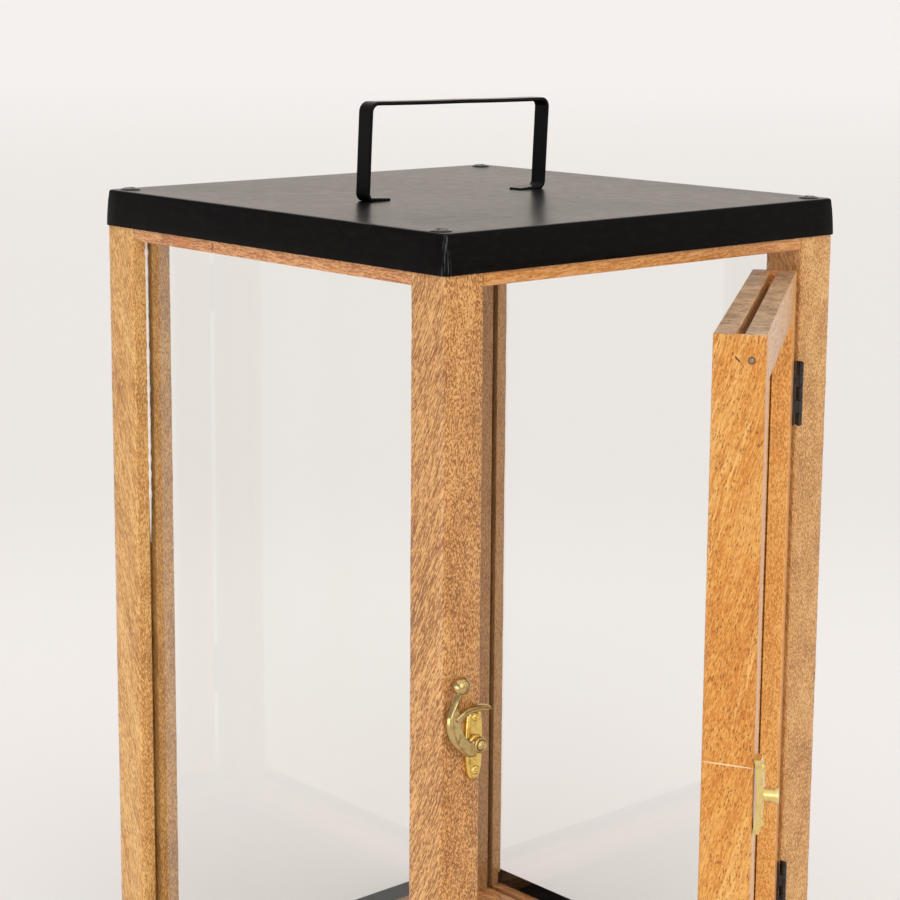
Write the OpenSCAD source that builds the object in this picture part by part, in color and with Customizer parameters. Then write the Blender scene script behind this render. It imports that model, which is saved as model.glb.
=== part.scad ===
// Hanging lantern: a wooden frame between a folded sheet-metal lid and tray, three fixed
// panes, and a glazed door with a swing catch. Millimetres, +Z up.
// The origin is the centre of the tray's underside. The door is on the -Y side.

/* [Body] */
// Outside width and depth of the wooden frame
body_w = 200; // [196:1:206]
// Height from the tray's underside to the top of the lid
body_h = 345; // [335:1:380]
// Side of the square corner posts
post_w = 17.4; // [17:0.1:18.4]
// Height of the top rails
top_rail_h = 18; // [16.5:0.1:19]
// Height of the bottom rails
bottom_rail_h = 7.2; // [7:0.1:8.4]
// How far the rails' faces lie behind the posts' faces
rail_setback = 0.4; // [0.2:0.1:0.8]

/* [Sheet metal] */
// Thickness of the lid's and the tray's sheet
sheet_t = 0.8; // [0.6:0.1:1]
// How far the folded rims stand out from the posts
rim_out = 1; // [1:0.1:1.4]
// Height of the folded rims
rim_h = 14; // [12:0.5:14]
// Outside radius of the folds
fold_r = 1; // [0.9:0.1:1]

/* [Handle] */
// Outside length of the strap handle
handle_len = 92.4; // [88:0.1:100]
// Height of the handle above the lid
handle_h = 37; // [34:0.5:44]
// Width of the strap
strap_w = 7; // [6:0.5:10]
// Thickness of the strap
strap_t = 1.4; // [1:0.1:2]
// Length of each foot, from the outside of the leg
foot_len = 16.5; // [12:0.5:20]
// How far the handle's middle lies from the lid's middle, along X
handle_x = -4.8; // [-10:0.1:10]
// How far the handle's middle lies from the lid's middle, along Y
handle_y = 1.6; // [-10:0.1:10]

/* [Glass] */
// Thickness of every pane
glass_t = 2; // [2:0.1:2.4]
// Width of the grooves in the posts and rails
groove_w = 3; // [2.8:0.1:3.2]
// Distance from the frame's outside to the middle of the grooves
groove_in = 7.2; // [7:0.1:7.4]

/* [Door] */
// How far the door stands open
door_open = 36.3; // [0:0.1:175]
// Thickness of the door
door_t = 17; // [16:0.1:17]
// Width of the stiles
stile_w = 17; // [16:0.1:18]
// Gap at the hinge side, which holds both hinge leaves
hinge_gap = 2.1; // [2.1:0.1:2.4]
// Gap at the catch side
catch_gap = 1.6; // [1.5:0.1:1.8]
// Gap above the door
gap_above = 7.7; // [4:0.1:9]
// Gap between the tray's rim and the door
gap_below = 2.3; // [2:0.1:4]
// Width of the slot that takes the door's pane
slot_w = 2.6; // [2.4:0.1:2.8]

/* [Hinges] */
// Height of a hinge
hinge_h = 25; // [22:0.5:27]
// Radius of the knuckles
knuckle_r = 1.6; // [1.5:0.1:1.7]
// Radius of the hinge pins
pin_r = 0.8; // [0.7:0.1:0.9]
// Height of the lower hinge's lower end
hinge_low = 55.5; // [30:0.1:120]
// Height of the upper hinge's lower end
hinge_high = 258.3; // [180:0.1:285]

/* [Catch] */
// Where the rivet is, along X
rivet_x = -86.4; // [-86.4:0.1:-85.8]
// Height of the rivet
rivet_z = 168.8; // [168.4:0.1:169.2]
// Radius of the ball knob
ball_r = 3.15; // [2.8:0.05:3.2]
// Thickness of the lever
lever_t = 2; // [1.8:0.1:2]

/* [Hidden] */
half = body_w / 2;
rim_half = half + rim_out;
frame_z0 = sheet_t;
frame_z1 = body_h - sheet_t;
post_in = half - post_w;                     // inner face of a post
rail_t = post_w - 2 * rail_setback;
top_rail_z = frame_z1 - top_rail_h;
bottom_rail_z = frame_z0 + bottom_rail_h;
groove_d = 4;                                // depth of the posts' grooves
top_groove_d = 5.5;                          // depth of the top rails' grooves
bottom_groove_d = 3;                         // depth of the bottom rails' grooves
groove_stop = 8;                             // from the posts' tops down to their grooves
pane_play = 0.4;                             // free space at each edge of a pane
eps = 0.01;
far = 20;                                    // reach of a cut that leaves the solid

// Screws: radius of head, height of head, radius of shank, length of shank
lid_screw = [4, 1.5, 1.9, 18];
tray_screw = [3.6, 2.1, 1.8, 20];
small_tray_screw = [2.4, 1.4, 1.2, 6];
hinge_screw = [1.7, 0.9, 0.9, 9];
catch_screw = [1.6, 1.1, 0.8, 9];
keeper_screw = [1.7, 1.1, 0.9, 10];
// The lid is drilled by hand, so its screws lie a little off the square
lid_screw_at = [[-95, -92], [93, -93.5], [-93.5, 93.5], [92, 92.5]];
tray_screw_in = half - 7.5;
tray_screw_at = [for (x = [-1, 1], y = [-1, 1]) tray_screw_in * [x, y]];
rail_screw_in = half - 11.5;
rail_screw_along = [-45, 45];
rail_screw_at = [for (s = [-1, 1], t = rail_screw_along)
    each [[s * rail_screw_in, t], [t, s * rail_screw_in]]];
hole_play = 0.02;
cross_wide = 0.2;                            // width of a cross recess, in head radii
cross_deep = 0.5;                            // depth of a cross recess, in head heights

dowel_r = 2.25;
dowel_in = 12;                               // from the outside to the dowel's middle
dowel_len = 16;
dowel_z_x = frame_z1 - 4.7;                  // dowels of the rails that run along X
dowel_z_y = frame_z1 - 11.7;                 // dowels of the rails that run along Y

hinge_z = [hinge_low, hinge_high];
axis_x = post_in - hinge_gap / 2;
axis_y = -half - 1.8;                        // the knuckles stand clear of the post
door_x0 = -post_in + catch_gap;              // free edge, with the door shut
door_x1 = post_in - hinge_gap;               // hinge edge
door_y0 = -half + 0.8;                       // outer face
door_y1 = door_y0 + door_t;
door_z0 = rim_h + gap_below;
door_z1 = top_rail_z - gap_above;
door_rail_h = 16.8;
slot_d = 4.5;                                // depth of the stiles' grooves
sill_d = 4;                                  // depth of the bottom rail's groove
door_sill_z = door_z0 + door_rail_h - sill_d;
kerf_d = 6;                                  // depth of the saw cut in the stiles' tops
kerf_skin = 1.2;                             // wood left between that cut and the edge
door_mid_y = (door_y0 + door_y1) / 2;
strip_w = (door_t - slot_w) / 2;             // thickness of each top rail strip
nail_r = 0.95;
nail_len = 26;
nail_in = 4.6;                               // from the door's outer face
nail_end = 8.2;                              // from the door's top and bottom

leaf_t = 0.9;
leaf_w = 8.9;
leaf_clear = knuckle_r + 0.3;                // from the axis to the flat of a leaf
knuckles = 5;
knuckle_step = hinge_h / knuckles;
knuckle_gap = 0.3;
leaf_screw_end = 5;                          // from a leaf's ends to its screws
pin_play = 0.05;

plate_r = 3.3;                               // half the width of the catch's base plate
plate_t = 2.4;
plate_z = [-10.1, 10.1];                     // centres of its round ends, from the rivet
boss_t = 0.4;                                // boss that the lever turns on
lever_gap = 0.3;                             // between the boss, the lever and the rivet's head
lever_y0 = -half - plate_t - boss_t - lever_gap;
rivet_at = [rivet_x, rivet_z];
rivet_r = 1.2;
rivet_len = -half - lever_y0 + lever_t + lever_gap;
rivet_head_r = 1.75;
rivet_head_h = 1.1;
hub_r = 2.9;
ball_at = [-9, 22.3];
catch_screw_z = [-9.6, 9.4];
catch_screw_sink = 0.8;                      // depth of the screw heads' recesses
catch_seat_y = -half - plate_t + catch_screw_sink;
recess_play = 0.1;                           // free space round a screw head in its recess

keeper_x = door_x0 + 3.5;
keeper_z = 167.5;
keeper_w = 6.8;
keeper_h = 25;
keeper_t = 2.2;
keeper_rise = 1.1;                           // how far the plate is bowed off the door
keeper_arc_r = (pow(keeper_h / 2, 2) + pow(keeper_rise, 2)) / (2 * keeper_rise);
keeper_screw_z = 9.3;
keeper_seat = 2.4;                           // height of the screw heads' seats
peg_r = 2.35;
peg_top = 7;
peg_rim_r = 3;
peg_rim_t = 1;

// The lever's body and hook, each as points [x, z, half width] from the rivet
lever_body = [[0, -0.4, 2.9], [-4.2, -0.5, 2.1], [-7.6, 1.7, 1.7], [-10.2, 4.9, 2],
    [-11.6, 8.6, 2.5], [-11.9, 12.2, 2.5], [-11.5, 15, 1.5], [-10.2, 17.4, 1.05], [-9.2, 20, 0.95]];
lever_hook = [[-10, 11, 1.5], [-7.6, 12.9, 1.25], [-4.2, 13.7, 1.1], [-0.4, 13.6, 1],
    [2.6, 12.9, 0.9], [4.9, 11.7, 0.7]];

$fn = 64;

// ---- Helpers ----

// A box between two corners
module box(low, high) {
    translate(low) cube(high - low);
}

// The children mirrored into the quadrant with these signs of X and Y
module quadrant(sx, sy) {
    mirror([sx < 0 ? 1 : 0, 0, 0]) mirror([0, sy < 0 ? 1 : 0, 0]) children();
}

// The children turned with the door about the hinge axis
module door_swing() {
    translate([axis_x, axis_y, 0]) rotate([0, 0, door_open]) translate([-axis_x, -axis_y, 0])
        children();
}

// A rod from a point along +X, -X, +Y, -Y, +Z or -Z
module rod(at, dir, r, len) {
    translate(at) rotate(dir.x != 0 ? [0, 90 * dir.x, 0] : dir.y != 0 ? [-90 * dir.y, 0, 0]
        : [dir.z < 0 ? 180 : 0, 0, 0]) cylinder(r = r, h = len);
}

// A domed cap: its base in the XY plane, its top at h
module dome(r, h) {
    ball = (r * r + h * h) / (2 * h);
    intersection() {
        cylinder(r = r, h = h);
        translate([0, 0, h - ball]) sphere(r = ball);
    }
}

// A cross recess that opens upwards at height z
module cross(len, wide, z, deep) {
    for (a = [0, 90]) rotate([0, 0, a])
        translate([-len / 2, -wide / 2, z - deep]) cube([len, wide, deep + far]);
}

// A domed screw seated on the XY plane, its shank down -Z
module domed_screw(s) {
    difference() {
        dome(s[0], s[1]);
        cross(s[0], s[0] * cross_wide, s[1], s[1] * cross_deep);
    }
    translate([0, 0, -s[3]]) cylinder(r = s[2], h = s[3]);
}

// A countersunk screw with its flat face in the XY plane, its shank down -Z
module flat_screw(s, recess = true) {
    difference() {
        union() {
            translate([0, 0, -s[1]]) cylinder(r1 = s[2], r2 = s[0], h = s[1]);
            translate([0, 0, -s[3]]) cylinder(r = s[2], h = s[3] - s[1] / 2);
        }
        if (recess) cross(s[0], s[0] * cross_wide, 0, s[1] * cross_deep);
    }
}

// The hole that a screw leaves: its shank, and its countersink if it has one
module screw_hole(s, flat = false) {
    translate([0, 0, -s[3] - hole_play]) cylinder(r = s[2] + hole_play, h = s[3] + far);
    if (flat) {
        translate([0, 0, -s[1]]) cylinder(r1 = s[2] + hole_play, r2 = s[0] + hole_play, h = s[1]);
        cylinder(r = s[0] + hole_play, h = far);
    }
}

// Position of a point on a Catmull-Rom span between b and c
function spline(a, b, c, d, t) =
    0.5 * (2 * b + (c - a) * t + (2 * a - 5 * b + 4 * c - d) * t * t
    + (3 * b - a - 3 * c + d) * t * t * t);

// All points of a smooth line through the given ones
function smooth(p, steps) = [
    for (i = [0 : len(p) - 2], k = [0 : steps - 1])
        spline(p[max(i - 1, 0)], p[i], p[i + 1], p[min(i + 2, len(p) - 1)], k / steps),
    p[len(p) - 1]];

// The outline of a stroke along points [x, y, half width]
function side(p, i, s) =
    let (a = p[max(i - 1, 0)], b = p[min(i + 1, len(p) - 1)],
        d = [b.x - a.x, b.y - a.y], n = [-d.y, d.x] / norm(d))
    [p[i].x, p[i].y] + s * p[i].z * n;

module stroke(points, steps = 4) {
    p = smooth(points, steps);
    last = len(p) - 1;
    polygon([for (i = [0 : last]) side(p, i, 1), for (i = [last : -1 : 0]) side(p, i, -1)]);
    translate([p[last].x, p[last].y]) circle(r = p[last].z, $fn = 24);
}

// ---- Sheet metal ----

// Section of a folded pan, open downwards, its top at z = 0
module pan_section(w, h, r) {
    translate([-w, -h]) square([2 * w, h - r]);
    translate([-w + r, -h]) square([2 * (w - r), h]);
    for (s = [-1, 1]) translate([s * (w - r), -r]) circle(r = r);
}

// A square block whose four top edges are rounded
module pan_block(w, h, r) {
    intersection() {
        rotate([90, 0, 0]) translate([0, 0, -w]) linear_extrude(2 * w) pan_section(w, h, r);
        rotate([90, 0, 90]) translate([0, 0, -w]) linear_extrude(2 * w) pan_section(w, h, r);
    }
}

// A folded pan, open downwards, its top at z = 0
module pan() {
    difference() {
        pan_block(rim_half, rim_h, fold_r);
        translate([0, 0, -sheet_t])
            pan_block(rim_half - sheet_t, rim_h + far, fold_r - sheet_t);
    }
}

module lid() {
    color("#232222") difference() {
        translate([0, 0, body_h]) pan();
        for (p = lid_screw_at) translate([p.x, p.y, body_h]) screw_hole(lid_screw);
    }
}

// The screws were driven home at different angles
module lid_screws() {
    color("#2c2b2b") for (p = lid_screw_at)
        translate([p.x, p.y, body_h]) rotate([0, 0, 7 * p.x]) domed_screw(lid_screw);
}

module tray() {
    color("#232222") difference() {
        mirror([0, 0, 1]) pan();
        for (p = tray_screw_at) translate([p.x, p.y, 0]) mirror([0, 0, 1])
            screw_hole(tray_screw, flat = true);
        for (p = rail_screw_at) translate([p.x, p.y, 0]) mirror([0, 0, 1])
            screw_hole(small_tray_screw, flat = true);
    }
}

module tray_post_screws() {
    color("#2c2b2b") for (p = tray_screw_at)
        translate([p.x, p.y, 0]) mirror([0, 0, 1]) flat_screw(tray_screw);
}

module tray_rail_screws() {
    color("#2c2b2b") for (p = rail_screw_at)
        translate([p.x, p.y, 0]) mirror([0, 0, 1]) flat_screw(small_tray_screw);
}

// A quarter of a bend in the strap, in the corner with these signs
module strap_bend(r, sx, sy) {
    intersection() {
        difference() {
            circle(r = r + strap_t);
            circle(r = r);
        }
        translate([sx > 0 ? 0 : -far, sy > 0 ? 0 : -far]) square(far);
    }
}

// The strap's side view, from its middle to its right-hand foot
module half_strap() {
    bend = 2.4;
    foot_bend = 1.6;
    out = handle_len / 2;
    translate([-eps, handle_h - strap_t]) square([out - bend - strap_t + eps, strap_t]);
    translate([out - bend - strap_t, handle_h - bend - strap_t]) strap_bend(bend, 1, 1);
    translate([out - strap_t, foot_bend + strap_t])
        square([strap_t, handle_h - bend - foot_bend - 2 * strap_t]);
    translate([out - foot_bend - strap_t, foot_bend + strap_t]) strap_bend(foot_bend, 1, -1);
    translate([out - foot_len, 0]) square([foot_len - foot_bend - strap_t, strap_t]);
}

module handle() {
    color("#1d1d1d") translate([handle_x, handle_y, body_h]) rotate([90, 0, 0])
        linear_extrude(strap_w, center = true) {
            half_strap();
            mirror([1, 0]) half_strap();
        }
}

// ---- Wooden frame ----

// Pilot holes for everything that is screwed or plugged into the frame
module frame_holes() {
    for (p = lid_screw_at) translate([p.x, p.y, body_h]) screw_hole(lid_screw);
    for (p = tray_screw_at) translate([p.x, p.y, 0]) mirror([0, 0, 1])
        screw_hole(tray_screw, flat = true);
    for (sx = [-1, 1], sy = [-1, 1]) quadrant(sx, sy) {
        rod([post_in - dowel_len / 2, half - dowel_in, dowel_z_x], [1, 0, 0],
            dowel_r + hole_play, dowel_len);
        rod([half - dowel_in, post_in - dowel_len / 2, dowel_z_y], [0, 1, 0],
            dowel_r + hole_play, dowel_len);
    }
}

// One post in the quadrant with these signs; x_pane and y_pane say which panes it holds
module post(sx, sy, x_pane = true, y_pane = true) {
    gz0 = bottom_rail_z - bottom_groove_d;
    difference() {
        quadrant(sx, sy) difference() {
            box([post_in, post_in, frame_z0], [half, half, frame_z1]);
            if (x_pane) box([half - groove_in - groove_w / 2, post_in - far, gz0],
                [half - groove_in + groove_w / 2, post_in + groove_d, frame_z1 - groove_stop]);
            if (y_pane) box([post_in - far, half - groove_in - groove_w / 2, gz0],
                [post_in + groove_d, half - groove_in + groove_w / 2, frame_z1 - groove_stop]);
        }
        frame_holes();
    }
}

module post_front_left() {
    color("#c08a50") difference() {
        post(-1, -1, y_pane = false);
        for (z = catch_screw_z) translate([rivet_at.x, catch_seat_y, rivet_at.y + z])
            rotate([90, 0, 0]) screw_hole(catch_screw);
    }
}

module post_front_right() {
    color("#cb9c60") difference() {
        post(1, -1, y_pane = false);
        for (z = hinge_z) hinge_screw_places(z, 1) screw_hole(hinge_screw);
    }
}

module post_back_left() {
    color("#c78f4c") post(-1, 1);
}

module post_back_right() {
    color("#b07c47") post(1, 1);
}

// A top rail along X on the +Y side, with or without a groove for its pane
module top_rail(grooved, z_dowel) {
    difference() {
        box([-post_in, half - rail_setback - rail_t, top_rail_z],
            [post_in, half - rail_setback, frame_z1]);
        if (grooved) box([-half, half - groove_in - groove_w / 2, top_rail_z - far],
            [half, half - groove_in + groove_w / 2, top_rail_z + top_groove_d]);
        for (s = [-1, 1]) rod([s * (post_in + eps), half - dowel_in, z_dowel], [-s, 0, 0],
            dowel_r + hole_play, dowel_len / 2 + hole_play);
    }
}

module top_rail_front() {
    color("#c47e45") quadrant(1, -1) top_rail(false, dowel_z_x);
}

module top_rail_back() {
    color("#b87a48") top_rail(true, dowel_z_x);
}

module top_rail_left() {
    color("#c07a48") rotate([0, 0, 90]) top_rail(true, dowel_z_y);
}

module top_rail_right() {
    color("#b87a48") rotate([0, 0, -90]) top_rail(true, dowel_z_y);
}

// A bottom rail along X on the +Y side, with or without a groove for its pane
module bottom_rail(grooved) {
    difference() {
        box([-post_in, half - rail_setback - rail_t, frame_z0],
            [post_in, half - rail_setback, bottom_rail_z]);
        if (grooved) box([-half, half - groove_in - groove_w / 2, bottom_rail_z - bottom_groove_d],
            [half, half - groove_in + groove_w / 2, bottom_rail_z + far]);
        for (x = rail_screw_along) translate([x, rail_screw_in, 0]) mirror([0, 0, 1])
            screw_hole(small_tray_screw, flat = true);
    }
}

module bottom_rail_front() {
    color("#b9805a") quadrant(1, -1) bottom_rail(false);
}

module bottom_rail_back() {
    color("#b9805a") bottom_rail(true);
}

module bottom_rail_left() {
    color("#b9805a") rotate([0, 0, 90]) bottom_rail(true);
}

module bottom_rail_right() {
    color("#b9805a") rotate([0, 0, -90]) bottom_rail(true);
}

module top_rail_dowels() {
    color("#d9b98a") for (sx = [-1, 1], sy = [-1, 1]) quadrant(sx, sy) {
        rod([post_in - dowel_len / 2, half - dowel_in, dowel_z_x], [1, 0, 0], dowel_r, dowel_len);
        rod([half - dowel_in, post_in - dowel_len / 2, dowel_z_y], [0, 1, 0], dowel_r, dowel_len);
    }
}

// The pane on the +Y side
module pane() {
    w = post_in + groove_d - pane_play;
    box([-w, half - groove_in - glass_t / 2, bottom_rail_z - bottom_groove_d],
        [w, half - groove_in + glass_t / 2, top_rail_z + top_groove_d - pane_play]);
}

module glass_left() {
    color([0.85, 0.92, 0.9, 0.3]) rotate([0, 0, 90]) pane();
}

module glass_back() {
    color([0.85, 0.92, 0.9, 0.3]) pane();
}

module glass_right() {
    color([0.85, 0.92, 0.9, 0.3]) rotate([0, 0, -90]) pane();
}

// ---- Hinges, drawn with the door shut ----

// Knuckles first, first + 2, ... of a hinge whose lower end is at z
module knuckle_row(z, first) {
    for (i = [first : 2 : knuckles - 1])
        translate([axis_x, axis_y, z + i * knuckle_step + knuckle_gap / 2]) children();
}

// One leaf: side is 1 on the post and -1 on the door
module leaf(z, side, first, bore) {
    x_in = hinge_gap / 2 - leaf_t;
    difference() {
        union() {
            box([axis_x + (side > 0 ? x_in : -x_in - leaf_t), axis_y + leaf_clear, z],
                [axis_x + (side > 0 ? x_in + leaf_t : -x_in), axis_y + leaf_clear + leaf_w, z + hinge_h]);
            knuckle_row(z, first) {
                cylinder(r = knuckle_r, h = knuckle_step - knuckle_gap);
                translate([side > 0 ? x_in : -x_in - leaf_t, 0, 0])
                    cube([leaf_t, leaf_clear + eps, knuckle_step - knuckle_gap]);
            }
        }
        translate([axis_x, axis_y, z - far]) cylinder(r = bore, h = hinge_h + 2 * far);
        hinge_screw_places(z, side) screw_hole(hinge_screw, flat = true);
    }
}

// Where a leaf's two screws go, their heads towards the other leaf
module hinge_screw_places(z, side) {
    for (dz = [leaf_screw_end, hinge_h - leaf_screw_end])
        translate([axis_x + side * (hinge_gap / 2 - leaf_t), axis_y + leaf_clear + leaf_w / 2, z + dz])
            rotate([0, -90 * side, 0]) children();
}

module hinge_pin(z) {
    color("#3a3a3a") translate([axis_x, axis_y, z]) cylinder(r = pin_r, h = hinge_h);
}

module frame_leaf(z) {
    color("#242424") leaf(z, 1, 0, pin_r + hole_play);
}

module door_leaf(z) {
    color("#242424") door_swing() leaf(z, -1, 1, pin_r + pin_play);
}

module hinge_frame_screws() {
    color("#3a3a3a") for (z = hinge_z) hinge_screw_places(z, 1) flat_screw(hinge_screw, false);
}

module hinge_door_screws() {
    color("#3a3a3a") door_swing() for (z = hinge_z)
        hinge_screw_places(z, -1) flat_screw(hinge_screw, false);
}

// ---- Door, drawn shut and then swung open ----

// The grooves and the top cut that take the pane, for both stiles
module stile_grooves() {
    y = [door_mid_y - slot_w / 2, door_mid_y + slot_w / 2];
    box([door_x0 + stile_w - slot_d, y[0], door_sill_z],
        [door_x1 - stile_w + slot_d, y[1], door_z1 + far]);
    box([door_x0 + kerf_skin, y[0], door_z1 - kerf_d], [door_x1 - kerf_skin, y[1], door_z1 + far]);
}

// Every nail, or with some play every nail hole
module nails(play = 0) {
    for (e = [[door_x0, 1], [door_x1, -1]], z = [door_z0 + nail_end, door_z1 - nail_end])
        rod([e[0], door_y0 + nail_in, z], [e[1], 0, 0], nail_r + play, nail_len + play);
}

module door_stile_latch() {
    color("#cf9340") door_swing() difference() {
        box([door_x0, door_y0, door_z0], [door_x0 + stile_w, door_y1, door_z1]);
        stile_grooves();
        nails(hole_play);
        for (s = [-1, 1]) translate([keeper_x, door_y0, keeper_z + s * keeper_screw_z])
            rotate([90, 0, 0]) translate([0, 0, keeper_seat]) screw_hole(keeper_screw);
    }
}

module door_stile_hinge() {
    color("#c6843e") door_swing() difference() {
        box([door_x1 - stile_w, door_y0, door_z0], [door_x1, door_y1, door_z1]);
        stile_grooves();
        nails(hole_play);
        for (z = hinge_z) hinge_screw_places(z, -1) screw_hole(hinge_screw);
    }
}

// One strip of the door's slotted top rail, between two Y values
module top_strip(y0, y1) {
    difference() {
        box([door_x0 + stile_w, y0, door_z1 - door_rail_h], [door_x1 - stile_w, y1, door_z1]);
        nails(hole_play);
    }
}

module door_top_rail_outer() {
    color("#b98a5c") door_swing() top_strip(door_y0, door_y0 + strip_w);
}

module door_top_rail_inner() {
    color("#b08d62") door_swing() top_strip(door_y1 - strip_w, door_y1);
}

module door_bottom_rail() {
    color("#b98a5c") door_swing() difference() {
        box([door_x0 + stile_w, door_y0, door_z0],
            [door_x1 - stile_w, door_y1, door_z0 + door_rail_h]);
        box([door_x0, door_mid_y - slot_w / 2, door_sill_z],
            [door_x1, door_mid_y + slot_w / 2, door_z1]);
        nails(hole_play);
    }
}

module door_glass() {
    color([0.85, 0.92, 0.9, 0.3]) door_swing()
        box([door_x0 + stile_w - slot_d + pane_play, door_mid_y - glass_t / 2, door_sill_z],
            [door_x1 - stile_w + slot_d - pane_play, door_mid_y + glass_t / 2, door_z1 - kerf_d]);
}

module door_nails() {
    color("#77736e") door_swing() nails();
}

// ---- Catch on the post ----

module catch_plate() {
    color("#cdb15c") translate([rivet_at.x, -half, rivet_at.y]) rotate([90, 0, 0]) difference() {
        union() {
            linear_extrude(plate_t) {
                for (z = plate_z) translate([0, z]) circle(r = plate_r);
                translate([-plate_r, plate_z[0]]) square([2 * plate_r, plate_z[1] - plate_z[0]]);
            }
            cylinder(r = hub_r, h = plate_t + boss_t);
        }
        translate([0, 0, -far]) cylinder(r = rivet_r + hole_play, h = 2 * far);
        for (z = catch_screw_z) translate([0, z, 0]) {
            translate([0, 0, -far]) cylinder(r = catch_screw[2] + hole_play, h = 2 * far);
            translate([0, 0, plate_t - catch_screw_sink])
                cylinder(r = catch_screw[0] + recess_play, h = far);
        }
    }
}

module catch_screws() {
    color("#d8bd66") for (z = catch_screw_z) translate([rivet_at.x, catch_seat_y, rivet_at.y + z])
        rotate([90, 0, 0]) domed_screw(catch_screw);
}

module catch_rivet() {
    color("#cbb06a") translate([rivet_at.x, -half, rivet_at.y]) rotate([90, 0, 0]) {
        cylinder(r = rivet_r, h = rivet_len + eps);
        translate([0, 0, rivet_len]) dome(rivet_head_r, rivet_head_h);
    }
}

module catch_lever() {
    color("#b8a06c") translate([rivet_at.x, lever_y0, rivet_at.y]) rotate([90, 0, 0]) difference() {
        union() {
            cylinder(r = hub_r, h = lever_t);
            linear_extrude(lever_t) {
                stroke(lever_body);
                stroke(lever_hook);
            }
            translate([ball_at.x, ball_at.y, lever_t / 2]) sphere(r = ball_r);
        }
        translate([0, 0, -far]) cylinder(r = rivet_r + pin_play, h = 2 * far);
    }
}

// ---- Keeper on the door ----

// Side view of the bowed plate: X is the distance from the door, Y is height
module keeper_section() {
    intersection() {
        translate([keeper_rise - keeper_arc_r, 0]) difference() {
            circle(r = keeper_arc_r + keeper_t, $fn = 200);
            circle(r = keeper_arc_r, $fn = 200);
        }
        translate([0, -keeper_h / 2]) square([far, keeper_h]);
    }
}

// The children in the keeper's frame: Z points away from the door, Y up
module at_keeper() {
    door_swing() translate([keeper_x, door_y0, keeper_z]) rotate([90, 0, 0]) children();
}

module keeper() {
    color("#dcc77f") at_keeper() difference() {
        union() {
            rotate([0, -90, 0]) linear_extrude(keeper_w, center = true) keeper_section();
            translate([0, 0, keeper_rise + keeper_t / 2])
                cylinder(r = peg_r, h = peg_top - keeper_rise - keeper_t / 2 + eps);
            translate([0, 0, peg_top]) cylinder(r = peg_rim_r, h = peg_rim_t);
        }
        for (s = [-1, 1]) translate([0, s * keeper_screw_z, 0]) {
            translate([0, 0, -far]) cylinder(r = keeper_screw[2] + hole_play, h = 2 * far);
            translate([0, 0, keeper_seat]) cylinder(r = keeper_screw[0] + recess_play, h = far);
        }
    }
}

module keeper_screws() {
    color("#d8bd66") at_keeper() for (s = [-1, 1])
        translate([0, s * keeper_screw_z, keeper_seat]) domed_screw(keeper_screw);
}

lid();
lid_screws();
handle();
post_front_left();
post_front_right();
post_back_left();
post_back_right();
top_rail_front();
top_rail_back();
top_rail_left();
top_rail_right();
bottom_rail_front();
bottom_rail_back();
bottom_rail_left();
bottom_rail_right();
top_rail_dowels();
glass_left();
glass_back();
glass_right();
tray();
tray_post_screws();
tray_rail_screws();
frame_leaf(hinge_z[1]);  // upper_hinge_frame_leaf
door_leaf(hinge_z[1]);  // upper_hinge_door_leaf
hinge_pin(hinge_z[1]);  // upper_hinge_pin
frame_leaf(hinge_z[0]);  // lower_hinge_frame_leaf
door_leaf(hinge_z[0]);  // lower_hinge_door_leaf
hinge_pin(hinge_z[0]);  // lower_hinge_pin
hinge_frame_screws();
hinge_door_screws();
door_stile_latch();
door_stile_hinge();
door_top_rail_outer();
door_top_rail_inner();
door_bottom_rail();
door_glass();
door_nails();
catch_plate();
catch_lever();
catch_rivet();
catch_screws();
keeper();
keeper_screws();
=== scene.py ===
"""Hanging lantern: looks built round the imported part. Metres, +Z up, the door on the -Y side."""
import math

import bmesh
import bpy
from mathutils import Matrix, Vector, noise


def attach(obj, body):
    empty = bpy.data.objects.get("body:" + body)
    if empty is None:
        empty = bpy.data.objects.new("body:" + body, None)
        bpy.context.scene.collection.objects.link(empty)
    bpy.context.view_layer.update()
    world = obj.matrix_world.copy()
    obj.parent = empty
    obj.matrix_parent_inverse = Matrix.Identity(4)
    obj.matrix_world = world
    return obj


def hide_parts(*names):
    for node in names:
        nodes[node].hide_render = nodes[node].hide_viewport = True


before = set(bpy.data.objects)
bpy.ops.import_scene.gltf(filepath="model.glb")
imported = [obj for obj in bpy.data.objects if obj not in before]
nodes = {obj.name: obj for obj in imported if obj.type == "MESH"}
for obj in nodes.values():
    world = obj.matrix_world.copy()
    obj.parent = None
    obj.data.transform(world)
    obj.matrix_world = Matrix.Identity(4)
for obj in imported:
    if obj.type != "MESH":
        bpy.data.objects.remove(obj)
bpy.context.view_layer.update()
scene = bpy.context.scene
scene.view_settings.view_transform = "Standard"

MM = 0.001

# ---- The part's own sizes, in millimetres ----
HALF, POST, RAIL_BACK = 100.0, 17.4, 0.4
TOP, SHEET = 345.0, 0.8
FRAME_Z = (SHEET, TOP - SHEET)
INNER = HALF - POST
TOP_RAIL_Z, BOTTOM_RAIL_Z = 326.2, 8.0
RIM_OUT, RIM_H = 101.0, 14.0
AXIS = Vector((81.55, -101.8, 0))                # of the door's hinges
OPEN = math.radians(36.3)                        # from closed to the rest pose
DOOR_X, DOOR_Y, DOOR_Z = (-81.0, 80.5), (-99.2, -82.2), (16.3, 318.5)
STILE, DOOR_RAIL, SLOT = 17.0, 16.8, 2.6
DOOR_MID = sum(DOOR_Y) / 2
SILL = DOOR_Z[0] + DOOR_RAIL - 4                 # where the pane stands in the bottom rail

DOOR_MATRIX = (
    Matrix.Translation(AXIS * MM)
    @ Matrix.Rotation(OPEN, 4, "Z")
    @ Matrix.Translation(-AXIS * MM)
)


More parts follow.
